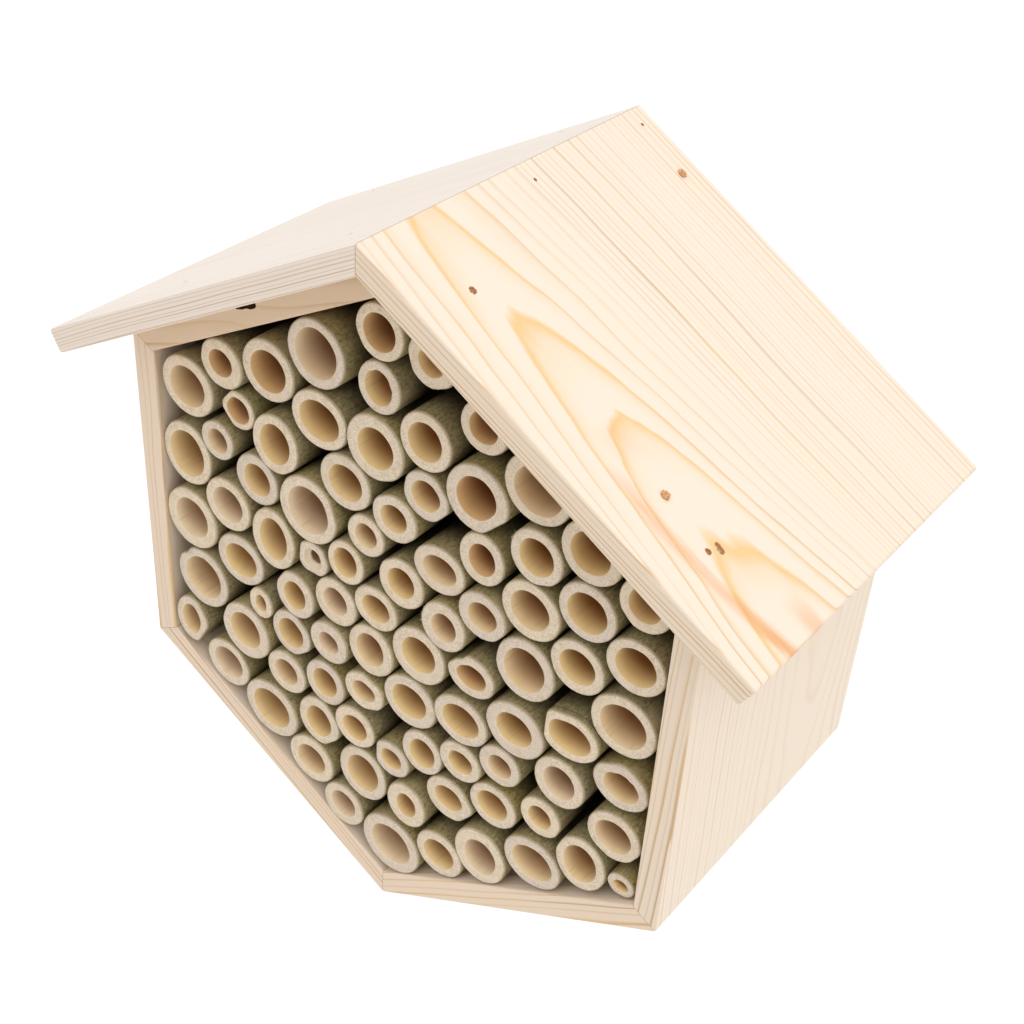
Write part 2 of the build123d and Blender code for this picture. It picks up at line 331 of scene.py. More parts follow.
def pine(name, turn, surface, front, rings, down=1, contrast=1.0, shade=CREAM, stain=None, seam=None):
    """Pine, planed but for the sawn edge at front.

    rings numbers the growth rings, stain says where they are amber or rusty, and seam how far a joint is.
    """
    look = Look(name, roughness=0.62, specular=0.22)
    along, across, under = board_fields(look, turn, surface, down)
    number = rings(look, along, across, under)
    number = number + (look.noise(number * 0.45, along * 0.004, 0.0) - 0.5) * 2.0
    sawn = across.ramp(front + 0.5, front + 0.1)
    part = number.fraction()
    # A ring's dark edge begins a twelfth before its number turns, so its traits change there
    broad = look.random(number + 57.0833)
    tail = (1.0 - part * (broad * 2.4 + 2.0)).limit()
    edge = (part * 12.0 - 11.0).limit()
    late = (tail * tail).math("MAXIMUM", edge)
    weight = look.random(number + 0.0833)
    weight = weight * weight * 0.75 + 0.25
    fibre = look.noise(along * 0.10, across * 5.0, under * 5.0, detail=4.0, roughness=0.65)
    cloud = look.noise(along * 0.012, across * 0.06, under * 0.06)
    flame = cloud.ramp(0.40, 0.62) * 0.6
    if stain:
        amber, rust = stain(look, along, across, under)
        flame = flame.math("MAXIMUM", amber)
        weight = weight.math("MAXIMUM", amber * 0.95)
        haze = (1.0 - part * 1.5).limit() * amber
        late = late.math("MAXIMUM", haze * haze * 0.55)
    ring_colour = look.mix(TAN, FLAME, flame)
    colour = look.mix(shade, SAWN, sawn * 0.25)
    colour = look.mix(colour, ring_colour, (late * weight * (sawn * 1.5 + 1.0) * contrast).limit())
    if stain:
        colour = look.mix(colour, STAIN, rust * (fibre.ramp(0.30, 0.70) * 0.35 + 0.65))
    streak = fibre.ramp(0.58, 0.80) * 0.20
    colour = look.mix(colour, linear(200, 170, 132), streak)
    if seam:
        colour = look.mix(colour, SEAM, seam(look, along, under).ramp(SEAM_WIDTH, 0.0) * 0.8)
    grain = fibre * 0.6 + late * weight * 0.4
    return look.finish(colour, grain, depth=0.12 * MM, strength=0.45)


def ridge_seam(look, along, under):
    """Millimetres to the ridge's mitre."""
    return look.x.size()


def roof_stain(look, along, across, under):
    """Where the right roof board is amber, and where it is rusty: about the arches' lower ends."""
    wobble = (look.noise(along * 0.05, across * 0.12, 0.0) - 0.5) * 14.0
    amber = (across + 84.0 + wobble).size().ramp(30.0, 6.0)
    past = along - 81.0
    ragged = (look.noise(along * 0.12, across * 0.9, 3.0) - 0.5) * 2.6
    line = (across + 94.6 - past * past * 0.0032 + ragged).size().ramp(3.0, 0.2)
    rust = line * along.ramp(62.0, 76.0) * (along.ramp(96.0, 114.0) * 0.4 + 0.6)
    end = (across + 80.0 + wobble * 0.6).size().ramp(4.5, 0.5) * along.ramp(106.0, 116.0)
    tip = (across + 87.0 + wobble * 0.4).size().ramp(6.0, 1.0) * (along - 61.0).size().ramp(7.0, 1.0)
    near = under.ramp(3.0, 0.5)
    return amber, (rust * 0.85 + end * 0.5 + tip * 0.15).limit() * near


def make_boards():
    """Every board's material, by node."""
    apothem = FRAME_SIDE * cos(radians(30))
    wall_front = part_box("wall_right")[0].y / MM
    found = {}
    for name, turn in WALL_TURNS.items():
        pith, lean, width, seed = WALL_RINGS[name]
        surface = apothem - FRAME_SIDE * sin(radians(turn))
        middle = -FRAME_SIDE * cos(radians(turn))

        def rings(look, along, across, under, pith=pith, lean=lean, width=width, seed=seed):
            return plain_rings(look, along, across, under, pith, lean, width, seed)

        def seam(look, along, under, middle=middle):
            reach = FRAME_SIDE / 2 - under * tan(radians(30))
            return reach - (along - middle).size()

        shade, contrast = WALL_SHADES.get(name, (BLUSH, 1.0))
        found[name] = pine(f"pine_{name}", turn, surface, wall_front, rings, contrast=contrast, shade=shade,
                           seam=seam)
    roof_top = cad_high.z / MM * sin(radians(60))
    roof_front = cad_low.y / MM

    def left_rings(look, along, across, under):
        return plain_rings(look, along, across, under, (-122.0, 60.0), (0.0, 0.0), 0.85, 53.0)

    found["roof_right"] = pine("pine_roof_right", ROOF_TURNS["roof_right"], roof_top, roof_front,
                               flame_rings, down=-1, contrast=1.15, stain=roof_stain, seam=ridge_seam)
    found["roof_left"] = pine("pine_roof_left", ROOF_TURNS["roof_left"], roof_top, roof_front,
                              left_rings, contrast=0.8, shade=MILK, seam=ridge_seam)
    return found


def plywood():
    """The back panel's rotary-cut face, with grain running up it."""
    look = Look("birch_plywood", roughness=0.7, specular=0.2)
    wave = look.noise(look.x * 0.03, look.y * 0.02, look.z * 0.006, detail=3.0) * 9.0
    band = (wave + look.x * 0.05).fraction()
    figure = (band - 0.5).size().ramp(0.10, 0.42)
    fibre = look.noise(look.x * 3.0, look.y * 3.0, look.z * 0.08, detail=4.0)
    colour = look.mix(linear(222, 198, 160), linear(198, 166, 122), figure * 0.5 + fibre * 0.35)
    return look.finish(colour, fibre, depth=0.08 * MM, strength=0.4)


# ---------------------------------------------------------------- bamboo

CUT, BORE, SKIN = 0, 1, 2


def bamboo_cut():
    """The sawn end: warm beige, speckled by the vessels, which lie closest together near the skin."""
    look = Look("bamboo_cut", roughness=0.85, specular=0.15)
    rim = look.attribute("rim")
    tone = look.attribute("cut_tone")
    speck = look.dots(look.x * 2.6, look.y * 0.6, look.z * 2.6).ramp(0.42, 0.10)
    fine = look.noise(look.x * 3.4, look.y * 3.4, look.z * 3.4, detail=4.0, roughness=0.75)
    patch = look.noise(look.x * 0.5, look.y * 0.5, look.z * 0.5, detail=2.0)
    base = look.mix(linear(230, 211, 184), linear(218, 202, 184), tone)
    colour = look.mix(base, linear(196, 172, 138), patch.ramp(0.45, 0.70) * 0.35)
    colour = look.mix(colour, linear(146, 118, 86), speck * rim.ramp(1.0, 0.15) * 0.55)
    colour = look.mix(colour, linear(168, 144, 112), fine.ramp(0.50, 0.66) * 0.50)
    colour = look.mix(colour, linear(252, 243, 226), fine.ramp(0.47, 0.36) * 0.6)
    colour = look.mix(colour, linear(240, 224, 196), rim.ramp(0.88, 0.98) * 0.65)
    colour = look.mix(colour, linear(150, 136, 100), rim.ramp(0.20, 0.0) * 0.65)
    height = fine * 0.8 - speck * 0.3
    return look.finish(colour, height, depth=0.22 * MM, strength=0.9)


def bamboo_bore():
    """The smooth inside: straw or blush at the mouth, then painted shade and painted warm bounced light
    that turn it brown and dark brown inwards.
    """
    look = Look("bamboo_bore", roughness=0.5, specular=0.3)
    tone = look.attribute("bore_tone")
    deep = look.attribute("deep")
    fibre = look.noise(look.x * 1.6, look.y * 0.05, look.z * 1.6, detail=3.0)
    cloud = look.noise(look.x * 0.25, look.y * 0.12, look.z * 0.25)
    near = look.mix(linear(238, 216, 184), linear(240, 212, 156), tone.ramp(0.0, 0.5))
    near = look.mix(near, linear(224, 184, 132), tone.ramp(0.5, 1.0))
    # far and the dark brown below are painted shade and painted warm bounced light, laid on by depth into
    # the bore
    far = look.mix(linear(176, 130, 94), linear(168, 112, 56), tone.ramp(0.0, 0.5))
    far = look.mix(far, linear(152, 98, 54), tone.ramp(0.5, 1.0))
    # painted shade: the deeper into the bore, the darker
    colour = look.mix(near, far, deep.ramp(0.0, 0.95))
    colour = look.mix(colour, linear(96, 54, 26), deep.ramp(0.9, 2.2) * 0.8)
    colour = look.mix(colour, linear(168, 122, 78), fibre.ramp(0.50, 0.75) * cloud.ramp(0.3, 0.7) * 0.25)
    return look.finish(colour, fibre, depth=0.06 * MM, strength=0.25)


def bamboo_skin():
    """The mottled olive outside, striated lengthwise, with painted shade that darkens it between the tubes.
    """
    look = Look("bamboo_skin", roughness=0.75, specular=0.2)
    tone = look.attribute("skin_tone")
    stripe = look.noise(look.x * 2.2, look.y * 0.10, look.z * 2.2, detail=4.0, roughness=0.65)
    mottle = look.noise(look.x * 1.5, look.y * 0.8, look.z * 1.5, detail=4.0, roughness=0.75)
    blotch = look.noise(look.x * 0.12, look.y * 0.08, look.z * 0.12, detail=3.0)
    base = look.mix(linear(158, 144, 108), linear(176, 158, 98), tone)
    colour = look.mix(base, linear(112, 104, 66), stripe.ramp(0.40, 0.70) * 0.5)
    colour = look.mix(colour, linear(88, 76, 48), mottle.ramp(0.50, 0.66) * 0.65)
    colour = look.mix(colour, linear(206, 190, 150), mottle.ramp(0.46, 0.34) * 0.5)
    colour = look.mix(colour, linear(186, 166, 130), blotch.ramp(0.52, 0.70) * 0.45)
    # painted shade: the skin darkens with depth behind the mouth, where the tubes crowd together
    colour = look.mix(colour, linear(40, 32, 20), look.attribute("depth").ramp(1.5, 12.0) * 0.9)
    return look.finish(colour, mottle * 0.6 + stripe * 0.4, depth=0.25 * MM, strength=0.8)


# What sets single tubes apart, by tube. A flat is (direction in degrees, millimetres cut off).
FLATS = {
    "06_right": [(-45, 1.3)],
    "25_left": [(135, 1.1)],
    "37_left": [(-30, 1.3), (35, 0.5)],
    "21_right": [(178, 1.9), (100, 0.7)],
    "40_left": [(38, 0.8), (-38, 0.8)],
    "06_left": [(42, 0.6), (-42, 0.6)],
    "38_right": [(42, 0.7), (-45, 0.7)],
    "08_right": [(140, 0.7), (222, 0.7)],
    "39_right": [(180, 1.0)],
    "19_left": [(175, 0.7), (268, 0.7)],
    "28_left": [(50, 0.6), (-50, 0.6)],
    "26_left": [(118, 0.8), (60, 0.5)],
    "33_right": [(70, 0.7)],
    "14_right": [(20, 0.6)],
}
NOTCHES = {"27_left": 135, "25_left": 118}          # direction of a dent in the outline, in degrees
NOTCH_DEPTH = 0.13                                  # of the radius
NOTCH_WIDTH = 9                                     # degrees
NOTCH_FALL = 2.718                                  # how steeply it fades to the sides
# The cane's node by the mouth: millimetres behind it
NODE_RINGS = {"21_right": 2.4, "26_left": 3.2, "31_left": 6.0, "12_left": 9.0, "43_right": 7.0}
NODE_GROOVE = ((0.9, 0.0), (0.35, 0.10), (0.0, 0.02), (-0.35, 0.12), (-0.9, 0.0))   # back, inset
PITH_PLUGS = {"19_left"}                            # a ring of pith left in the bore
PITH_RING = ((1.2, 1.0), (1.4, 1.25), (1.8, 1.45), (2.2, 1.4), (2.5, 1.15), (2.6, 1.0))     # depth, share
RAGGED = {"02_right", "34_right", "19_left", "26_left"}     # a rough rim to the bore
# Frayed fibres: the side of the mouth that they are on, in degrees
FUZZY = {"21_left": 95, "20_right": 180, "16_left": 225, "30_left": 180, "24_left": 130, "11_left": 150}
# Bores that are not the usual straw
BROWN = {"04_left", "04_right", "08_right", "01_left", "03_right", "06_right", "10_right", "25_left"}
OCHRE = {
    "05_right", "11_right", "17_left", "21_right", "22_right", "25_right", "34_left", "35_left", "38_right",
}
PALE = {
    "02_left", "14_right", "18_left", "22_left", "23_right", "28_right", "37_right", "43_left", "40_right",
    "31_right", "41_right",
}
YELLOW_SKIN = {"36_right", "33_left", "35_left", "26_left"}
MOUTH_ROUND = 0.70 * MM
BORE_ROUND = 0.22 * MM
FIBRES = 26
SPOKES = 72
BORE_SHARE = 0.97           # points nearer to a tube's middle than this share of its radius are its bore's
BAMBOO_SEED = 7


class Tube:
    """One tube's place and size, read from its CAD solid."""

    def __init__(self, points):
        xs = [p.x for p in points]
        ys = [p.y for p in points]
        zs = [p.z for p in points]
        self.middle = ((min(xs) + max(xs)) / 2, (min(zs) + max(zs)) / 2)
        self.half = ((max(xs) - min(xs)) / 2, (max(zs) - min(zs)) / 2)
        self.mouth, self.back = min(ys), max(ys)
        inner = [p for p in points if self.share(p) < BORE_SHARE]
        self.bore = (
            max(abs(p.x - self.middle[0]) for p in inner),
            max(abs(p.z - self.middle[1]) for p in inner),
        )

    def share(self, point):
        """How far out a point is, as a share of the tube's own radius."""
        return hypot((point.x - self.middle[0]) / self.half[0], (point.z - self.middle[1]) / self.half[1])


def solids_of(node):
    """The points of each separate solid of a CAD node, from left to right and then from front to back."""
    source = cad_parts[node].data
    work = bmesh.new()
    work.from_mesh(source)
    bmesh.ops.remove_doubles(work, verts=work.verts, dist=WELD)
    work.verts.index_update()
    work.verts.ensure_lookup_table()
    seen = set()
    groups = []
    for first in range(len(work.verts)):
        if first in seen:
            continue
        seen.add(first)
        queue = [first]
        group = []
        while queue:
            vertex = work.verts[queue.pop()]
            group.append(vertex.co.copy())
            for edge in vertex.link_edges:
                other = edge.other_vert(vertex).index
                if other not in seen:
                    seen.add(other)
                    queue.append(other)
        groups.append(group)
    work.free()

    def place(group):
        return tuple(round(sum(p[k] for p in group) / len(group) / TOLERANCE) for k in range(2))

    return sorted(groups, key=place)


def outline(name, tube, chance):
    """How much of its radius a tube keeps at each spoke: never more than all of it."""
    a, b = tube.half
    phase = chance.uniform(0, 100)
    sharp = chance.uniform(0.004, 0.012)
    keep = []
    for k in range(SPOKES):
        turn = tau * k / SPOKES
        wave = noise.noise(Vector((1.3 * cos(turn) + phase, 1.3 * sin(turn), 0.0)))
        keep.append(1 - sharp * (1 + wave * 1.6))
    flats = list(FLATS.get(name, ()))
    for _ in range(chance.choice((0, 1, 1, 2))):
        flats.append((chance.uniform(0, 360), chance.uniform(0.15, 0.40)))
    for direction, cut in flats:
        face = (cos(radians(direction)), sin(radians(direction)))
        reach = hypot(a * face[0], b * face[1]) - cut * MM
        for k in range(SPOKES):
            turn = tau * k / SPOKES
            out = a * cos(turn) * face[0] + b * sin(turn) * face[1]
            if out > reach:
                keep[k] = min(keep[k], reach / out)
    if name in NOTCHES:
        for k in range(SPOKES):
            off = (360 * k / SPOKES - NOTCHES[name] + 180) % 360 - 180
            keep[k] -= NOTCH_DEPTH * NOTCH_FALL ** (-(off / NOTCH_WIDTH) ** 2)
    for _ in range(2):
        keep = [(keep[k - 1] + 2 * keep[k] + keep[(k + 1) % SPOKES]) / 4 for k in range(SPOKES)]
    return [share - chance.uniform(0.0, 0.008) for share in keep]


def tube_rings(name, tube, chance):
    """Every ring of points of a tube, from its back, round its mouth and back down its bore.

    Each comes with its distance from skin to bore, its depth in the bore and its material.
    """
    keep = outline(name, tube, chance)
    a, b = tube.half
    wall = min(a - tube.bore[0], b - tube.bore[1])
    mouth = min(MOUTH_ROUND, 0.45 * wall)
    length = tube.back - tube.mouth
    lean = (chance.uniform(-0.012, 0.012), chance.uniform(-0.012, 0.012))
    shift = (chance.uniform(-0.07, 0.07) * wall, chance.uniform(-0.07, 0.07) * wall)
    wobble = 0.045 if name in RAGGED else 0.018
    phase = chance.uniform(0, 100)
    outer, inner = [], []
    for k in range(SPOKES):
        turn = tau * k / SPOKES
        outer.append((a * cos(turn) * keep[k], b * sin(turn) * keep[k]))
        wave = noise.noise(Vector((1.2 * cos(turn), 1.2 * sin(turn), phase)))
        if name in RAGGED:
            wave += 0.8 * noise.noise(Vector((4.0 * cos(turn), 4.0 * sin(turn), phase)))
        size = 1 + wobble * 1.5 * wave + 0.4 * (keep[k] - 1)
        wide, high = tube.bore
        inner.append((wide * cos(turn) * size + shift[0], high * sin(turn) * size + shift[1]))

    rows = []
    groove = NODE_RINGS.get(name)
    for back in (length, 0.6 * length, 30 * MM, 15 * MM, 8 * MM, 4 * MM, 2 * MM):
        rows.append((back, 0.0, SKIN))
    if groove:
        for back, inset in NODE_GROOVE:
            rows.append(((groove + back) * MM, inset * MM, SKIN))
    rows = sorted(rows, key=lambda row: -row[0])
    for step in range(6):
        turn = pi / 2 * step / 5
        rows.append((mouth * (1 - sin(turn)), mouth * (1 - cos(turn)), CUT if step else SKIN))
    face_end = wall - BORE_ROUND
    for step in range(1, 5):
        rows.append((0.0, mouth + (face_end - mouth) * step / 4, CUT))
    for step in range(1, 3):
        turn = pi / 2 * step / 2
        rows.append((BORE_ROUND * (1 - cos(turn)), face_end + BORE_ROUND * sin(turn), CUT))
    if name in PITH_PLUGS:
        for depth, reach in PITH_RING:
            rows.append((depth * MM, wall * reach, CUT))
    for depth in (3.0, 5.0, 8.0, 12.0, 20.0, 40.0, length / MM):
        rows.append((depth * MM, wall, BORE))

    found = []
    for depth, inset, kind in rows:
        share = inset / wall
        ring = []
        for (ox, oz), (ix, iz) in zip(outer, inner):
            x, z = ox + (ix - ox) * share, oz + (iz - oz) * share
            rough = 0.0
            if kind == CUT and 0.0 < share < 1.0:
                rough = 0.05 * MM * noise.noise(Vector((x, z, phase * MM)) / (0.7 * MM))
            tilt = (lean[0] * x + lean[1] * z) * max(0.0, 1 - depth / (6 * MM))
            y = tube.mouth + max(depth + tilt + rough + abs(lean[0]) * a + abs(lean[1]) * b, 0.0)
            ring.append((tube.middle[0] + x, min(y, tube.back), tube.middle[1] + z))
        found.append((ring, share, depth / MM, kind))
    return found


def tone_of(name, chance):
    """How brown a tube's bore is, from 0, pale, to 1."""
    if name in BROWN:
        return chance.uniform(0.80, 1.0)
    if name in OCHRE:
        return chance.uniform(0.42, 0.55)
    if name in PALE:
        return chance.uniform(0.0, 0.12)
    return chance.uniform(0.18, 0.66)


def add_tube(mesh, name, tube, chance):
    """Put one tube into a bmesh, with its tones as attributes."""
    layers = mesh.verts.layers.float
    tones = {
        "bore_tone": tone_of(name, chance),
        "cut_tone": chance.uniform(0.0, 1.0),
        "skin_tone": chance.uniform(0.75, 1.0) if name in YELLOW_SKIN else chance.uniform(0.0, 0.6),
    }
    rows = []
    for ring, share, depth, kind in tube_rings(name, tube, chance):
        row = []
        for point in ring:
            vertex = mesh.verts.new(point)
            vertex[layers["rim"]] = share
            vertex[layers["depth"]] = depth
            vertex[layers["deep"]] = depth * MM / (tube.bore[0] + tube.bore[1])
            for key, value in tones.items():
                vertex[layers[key]] = value
            row.append(vertex)
        rows.append((row, kind))
    for (first, _), (second, kind) in zip(rows, rows[1:] + rows[:1]):
        for k in range(SPOKES):
            after = (k + 1) % SPOKES
            face = mesh.faces.new((first[k], second[k], second[after], first[after]))
            face.material_index = kind
            face.smooth = True


def add_fibres(mesh, name, tube, chance):
    """The frayed fibres that a blunt saw left on one side of a tube's mouth, each a closed spike."""
    layers = mesh.verts.layers.float
    a, b = tube.half
    for _ in range(FIBRES):
        turn = radians(FUZZY[name] + chance.gauss(0, 22))
        face = Vector((cos(turn), 0, sin(turn)))
        root = Vector((tube.middle[0] + a * 0.96 * cos(turn), tube.mouth + 0.35 * MM,
                       tube.middle[1] + b * 0.96 * sin(turn)))
        side = Vector((-face.z, 0, face.x))
        length = chance.uniform(0.35, 1.1) * MM
        lean = side * chance.uniform(-0.9, 0.9) + Vector((0, chance.uniform(-0.25, 0.5), 0))
        tip = root + (face * 0.6 + lean).normalized() * length
        thick = chance.uniform(0.04, 0.08) * MM
        back = Vector((0, thick, 0))
        ring = [root + side * thick, root + back, root - side * thick, root - back]
        corners = [mesh.verts.new(point) for point in ring + [tip]]
        for corner in corners:
            corner[layers["rim"]] = 0.5
        for k in range(4):
            mesh.faces.new((corners[k], corners[(k + 1) % 4], corners[4])).material_index = CUT
        mesh.faces.new(corners[3::-1]).material_index = CUT


def object_from(name, mesh, materials, body="hotel"):
    """Turn a bmesh into an object that rides on a body."""
    data = bpy.data.meshes.new(name)
    bmesh.ops.recalc_face_normals(mesh, faces=mesh.faces)
    mesh.to_mesh(data)
    mesh.free()
    for material in materials:
        data.materials.append(material)
    piece = bpy.data.objects.new(name, data)
    bpy.context.scene.collection.objects.link(piece)
    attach(piece, body)
    return piece


def make_bamboo():
    """A detailed piece for each bamboo node."""
    materials = [bamboo_cut(), bamboo_bore(), bamboo_skin()]
    chance = Random(BAMBOO_SEED)
    for node in sorted(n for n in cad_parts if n.startswith("bamboo_pair_")):
        mesh = bmesh.new()
        for key in ("rim", "depth", "deep", "bore_tone", "cut_tone", "skin_tone"):
            mesh.verts.layers.float.new(key)
        number = node.rsplit("_", 1)[1]
        for side, points in zip(("left", "right"), solids_of(node)):
            name = f"{number}_{side}"
            tube = Tube(points)
            add_tube(mesh, name, tube, chance)
            if name in FUZZY:
                add_fibres(mesh, name, tube, chance)
        piece = object_from(f"bamboo_{number}", mesh, materials)
        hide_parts(node)


# ---------------------------------------------------------------- boards that are cut

def wall_axes(node):
    """The directions out of a frame board's outer face and along its outer edge."""
    turn = radians(WALL_TURNS[node])
    return Vector((cos(turn), 0, sin(turn))), Vector((-sin(turn), 0, cos(turn)))


def roof_axes(turn):
    """The directions down a roof board's slope and out of its top."""
    out = Vector((cos(radians(turn)), 0, sin(radians(turn))))
    side = 1 if turn < 90 else -1
    down = Vector((side * sin(radians(60)), 0, -cos(radians(60))))
    return down, out


def cutter(name, rings, material):
    """A closed solid through rings of points, to be cut out of a board."""
    mesh = bmesh.new()
    rows = [[mesh.verts.new(p) for p in ring] for ring in rings]
    for first, second in zip(rows, rows[1:]):
        for k in range(len(first)):
            after = (k + 1) % len(first)
            mesh.faces.new((first[k], second[k], second[after], first[after]))
    mesh.faces.new(rows[0])
    mesh.faces.new(rows[-1][::-1])
    bmesh.ops.recalc_face_normals(mesh, faces=mesh.faces)
    data = bpy.data.meshes.new(name)
    mesh.to_mesh(data)
    mesh.free()
    data.materials.append(material)
    tool = bpy.data.objects.new(name, data)
    bpy.context.scene.collection.objects.link(tool)
    return tool


def brad_pit(name, place, down, out, size, tear, chance, material):
    """The pit over a sunk brad.

    place is the middle of its head's top, size is its radius and tear is how ragged it is.
    """
    rings = []
    across = Vector((0, 1, 0))
    for level, spread in PIT_LEVELS:
        ring = []
        for k in range(PIT_SPOKES):
            turn = tau * k / PIT_SPOKES
            ragged = size * (1 + tear * (spread - 1.0) * (1 + chance.uniform(-1, 1)))
            long = ragged * (1 + 0.15 * tear)
            point = place + out * (level * MM) + down * (cos(turn) * long) + across * (sin(turn) * ragged)
            ring.append(point)
        rings.append(ring)
    return cutter(name, rings, material)


def bark_void(node, material):
    """The wedge of bark that fell out of the upper left frame board's top front edge."""
    out, way = wall_axes(node)
    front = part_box(node)[0].y
    rings = []
    for depth, size in BARK_LEVELS:
        ring = []
        for along, under in BARK_VOID:
            reach = BARK_MIDDLE + (along - BARK_MIDDLE) * size
            place = way * (reach * MM) - out * (under * size * MM)
            ring.append(Vector((place.x, front + depth * MM, place.z)))
        rings.append(ring)
    return cutter("bark_void", rings, material)


def extent(data):
    """The least and greatest of a mesh's coordinates, along each axis."""
    points = [vertex.co for vertex in data.vertices]
    return [pick(p[k] for p in points) for k in range(3) for pick in (min, max)]


def cut_out(piece, tools):
    """Cut tools out of a piece for good, and throw the tools away.

    A cut that empties the piece or moves its extent would spoil it, and is left out.
    """
    for tool in tools:
        modifier = piece.modifiers.new(tool.name, "BOOLEAN")
        modifier.operation = "DIFFERENCE"
        modifier.solver = "EXACT"
        modifier.material_mode = "TRANSFER"
        modifier.object = tool
        bpy.context.view_layer.update()
        graph = bpy.context.evaluated_depsgraph_get()
        result = bpy.data.meshes.new_from_object(piece.evaluated_get(graph))
        piece.modifiers.clear()
        bpy.data.objects.remove(tool)
        if not result.vertices:
            continue
        shift = max(abs(a - b) for a, b in zip(extent(piece.data), extent(result)))
        if shift < TOLERANCE:
            piece.data = result


def torn_wood(name, light, dark):
    """Broken fibres, where wood was torn or bark fell out."""
    look = Look(name, roughness=0.9, specular=0.1)
    rough = look.noise(look.x * 2.5, look.y * 2.5, look.z * 2.5, detail=3.0)
    return look.finish(look.mix(light, dark, rough.ramp(0.40, 0.60)), rough, depth=0.2 * MM)


def board_mesh(corners, front, back, rounding, eased):
    """A board between two ends of Y, with the edges that eased picks rounded."""
    mesh = bmesh.new()
    near = [mesh.verts.new((c.x, front, c.z)) for c in corners]
    far = [mesh.verts.new((c.x, back, c.z)) for c in corners]
    mesh.faces.new(near)
    mesh.faces.new(far[::-1])
    for k in range(4):
        mesh.faces.new((near[k], far[k], far[(k + 1) % 4], near[(k + 1) % 4]))
    bmesh.ops.recalc_face_normals(mesh, faces=mesh.faces)
    edges = [edge for edge in mesh.edges if eased(edge)]
    bmesh.ops.bevel(mesh, geom=edges, offset=rounding, offset_type="OFFSET", segments=4, profile=0.5,
                    affect="EDGES")
    return mesh


def finish_board(piece, tools, node):
    """Cut a board's holes, smooth only its rounded edges, and put it in its CAD node's place."""
    cut_out(piece, tools)
    piece.data.set_sharp_from_angle(angle=SHARP)
    faces = piece.data.polygons
    flat = [face.normal.copy() for face in faces if face.area > FLAT_AREA]
    for face in faces:
        face.use_smooth = all(face.normal.dot(normal) < SAME_WAY for normal in flat)
    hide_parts(node)


def make_chipped_wall(node, material, bark):
    """The upper left frame board, which has a bark void in its top front edge."""
    out, along = wall_axes(node)
    low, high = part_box(node)
    side = FRAME_SIDE * MM
    wall_low, wall_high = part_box("wall_right")
    thick = wall_high.x - wall_low.x
    inset = thick * tan(radians(30))
    corners = [Vector(), along * side, along * (side - inset) - out * thick, along * inset - out * thick]

    def long_edge(edge):
        return abs(edge.verts[0].co.y - edge.verts[1].co.y) < MM and edge.calc_length() > side / 2

    mesh = board_mesh(corners, low.y, high.y, WALL_EDGE_ROUND, long_edge)
    piece = object_from(f"{node}_board", mesh, [material])
    finish_board(piece, [bark_void(node, bark)], node)


def make_roof(node, material, torn, chance):
    """A roof board with eased edges and torn pits where the brads went in."""
    turn = ROOF_TURNS[node]
    down, out = roof_axes(turn)
    low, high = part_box(node)
    thick = high.z * cos(radians(30))
    reach = max(high.x, -low.x)
    length = (reach - thick * sin(radians(30))) / cos(radians(30))
    corners = [Vector(), down * length, down * length + out * thick, Vector((0, 0, high.z))]

    def off_ridge(edge):
        return abs(edge.verts[0].co.x) + abs(edge.verts[1].co.x) > MM

    mesh = board_mesh(corners, low.y, high.y, ROOF_EDGE_ROUND, off_ridge)
    piece = object_from(f"{node}_board", mesh, [material])
    right = turn < 90
    fasteners = ("roof_brads_right", "ridge_pins") if right else ("roof_brads_left",)
    groups = [points for fastener in fasteners for points in solids_of(fastener)]
    tools = []
    for number, points in enumerate(groups):
        top = max(p.dot(out) for p in points)
        head = [p for p in points if p.dot(out) > top - TOLERANCE]
        place = sum(head, Vector()) / len(head)
        size = max((p - place).length for p in head)
        tear, inside = (1.0, torn) if right else (0.0, material)
        tools.append(brad_pit(f"pit_{number}", place, down, out, size, tear, chance, inside))
    if right:
        for number, (along, across, size) in enumerate(BARE_PITS):
            place = down * (along * MM) + out * (thick - BARE_PIT_DEPTH * MM) + Vector((0, across * MM, 0))
            tools.append(brad_pit(f"bare_pit_{number}", place, down, out, size * MM, 1.0, chance, torn))
    finish_board(piece, tools, node)


# ---------------------------------------------------------------- metal and trim

def nail_steel():
    """The brads' and pins' steel, part bright and part rusty."""
    look = Look("nail_steel", roughness=0.5, metallic=0.35, specular=0.5)
    tarnish = look.noise(look.x * 1.3, look.y * 1.3, look.z * 1.3, detail=3.0)
    colour = look.mix(linear(178, 172, 164), linear(172, 118, 74), tarnish.ramp(0.38, 0.50))
    return look.finish(colour, tarnish, depth=0.05 * MM, strength=0.5)


def plated(name, bright, dull):
    """Steel with a plated coat of two tones."""
    look = Look(name, roughness=0.34, metallic=1.0, specular=0.5)
    grain = look.noise(look.x * 1.4, look.y * 1.4, look.z * 1.4, detail=4.0)
    colour = look.mix(bright, dull, grain.ramp(0.40, 0.65))
    return look.finish(colour, grain, depth=0.03 * MM, strength=0.4)


def paint(node, material):
    """Give a CAD node its material, in place of any that it had."""
    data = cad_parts[node].data
    data.materials.clear()
    data.materials.append(material)


# ---------------------------------------------------------------- studio

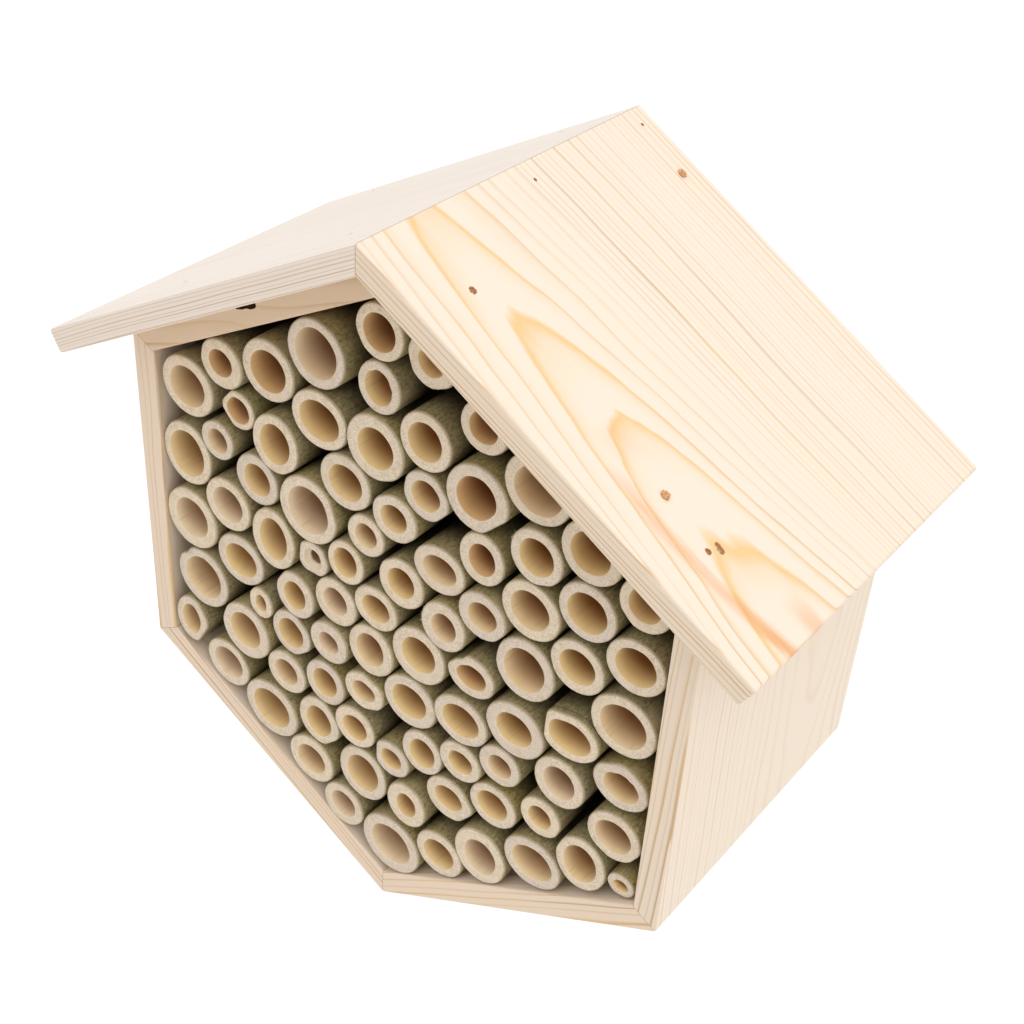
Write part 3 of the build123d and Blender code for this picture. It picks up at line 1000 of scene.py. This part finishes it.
def make_camera():
    """The camera, in front of the hotel, to its right and above it."""
    data = bpy.data.cameras.new("camera")
    data.lens = LENS
    data.sensor_width = SENSOR
    camera = bpy.data.objects.new("camera", data)
    bpy.context.scene.collection.objects.link(camera)
    level_reach = cos(CAMERA_ELEVATION)
    forward = Vector((-sin(CAMERA_AZIMUTH) * level_reach, cos(CAMERA_AZIMUTH) * level_reach,
                      -sin(CAMERA_ELEVATION)))
    right = Vector((cos(CAMERA_AZIMUTH), sin(CAMERA_AZIMUTH), 0))
    up = right.cross(forward)
    level = Matrix((right, up, -forward)).transposed().to_4x4()
    camera.matrix_world = Matrix.Translation(CAMERA_PLACE) @ level @ Matrix.Rotation(CAMERA_ROLL, 4, "Z")
    bpy.context.scene.camera = camera


def area_light(name, place, target, power, colour=(1, 1, 1)):
    """A round soft light that faces its target."""
    data = bpy.data.lights.new(name, "AREA")
    data.shape = "DISK"
    data.size = LIGHT_SIZE
    data.energy = power
    data.color = colour
    lamp = bpy.data.objects.new(name, data)
    lamp.location = place
    lamp.rotation_mode = "QUATERNION"
    lamp.rotation_quaternion = (Vector(target) - Vector(place)).to_track_quat("-Z", "Y")
    bpy.context.scene.collection.objects.link(lamp)


def make_sky():
    """A sky that brightens upwards to light the hotel. The camera sees plain white instead of it."""
    world = bpy.data.worlds.new("studio")
    world.use_nodes = True
    tree = world.node_tree
    background = tree.nodes["Background"]
    background.inputs["Color"].default_value = (1.0, 1.0, 1.0, 1.0)
    direction = tree.nodes.new("ShaderNodeTexCoord")
    split = tree.nodes.new("ShaderNodeSeparateXYZ")
    tree.links.new(direction.outputs["Generated"], split.inputs[0])
    strength = Field(tree, split.outputs["Z"]).ramp(-0.1, 1.0) * (SKY_ZENITH - SKY_HORIZON) + SKY_HORIZON
    tree.links.new(strength.socket, background.inputs["Strength"])
    backdrop = tree.nodes.new("ShaderNodeBackground")
    backdrop.inputs["Color"].default_value = (1.0, 1.0, 1.0, 1.0)
    seen = tree.nodes.new("ShaderNodeLightPath")
    choice = tree.nodes.new("ShaderNodeMixShader")
    tree.links.new(seen.outputs["Is Camera Ray"], choice.inputs[0])
    tree.links.new(background.outputs[0], choice.inputs[1])
    tree.links.new(backdrop.outputs[0], choice.inputs[2])
    tree.links.new(choice.outputs[0], tree.nodes["World Output"].inputs["Surface"])
    bpy.context.scene.world = world


def make_floor(middle):
    """A plain pale floor, some way below the hotel."""
    look = Look("floor_white", roughness=0.9, specular=0.1)
    paper = look.finish((0.92, 0.92, 0.92, 1.0))
    mesh = bmesh.new()
    bmesh.ops.create_grid(mesh, x_segments=1, y_segments=1, size=FLOOR_SIZE)
    data = bpy.data.meshes.new("floor")
    mesh.to_mesh(data)
    mesh.free()
    data.materials.append(paper)
    floor = bpy.data.objects.new("floor", data)
    floor.location = (middle.x, middle.y, cad_low.z - FLOOR_DROP)
    bpy.context.scene.collection.objects.link(floor)


def make_studio():
    """The sky, the lights and the floor."""
    middle = (cad_low + cad_high) / 2
    make_sky()
    area_light("key", middle + Vector(KEY_OFFSET), middle, KEY_POWER, KEY_COLOUR)
    area_light("side", middle + Vector(SIDE_OFFSET), middle, SIDE_POWER)
    make_floor(middle)
    bpy.context.scene.view_settings.view_transform = "Standard"


boards = make_boards()
for wall in WALL_TURNS:
    paint(wall, boards[wall])
make_chipped_wall("wall_upper_left", boards["wall_upper_left"], torn_wood("bark", BARK, linear(84, 54, 38)))
torn_look = torn_wood("torn_pine", TORN, linear(216, 168, 120))
for roof in ROOF_TURNS:
    make_roof(roof, boards[roof], torn_look, Random(PIT_SEED))
paint("back_panel", plywood())
nail_look = nail_steel()
for group in ("roof_brads_right", "roof_brads_left", "ridge_pins"):
    paint(group, nail_look)
zinc = plated("zinc_plate", linear(206, 208, 208), linear(176, 180, 184))
for part in ("hanger_strap", "hanger_ring"):
    paint(part, zinc)
paint("hanger_screws", plated("screw_plate", linear(190, 174, 128), linear(150, 134, 96)))
make_bamboo()
make_camera()
make_studio()
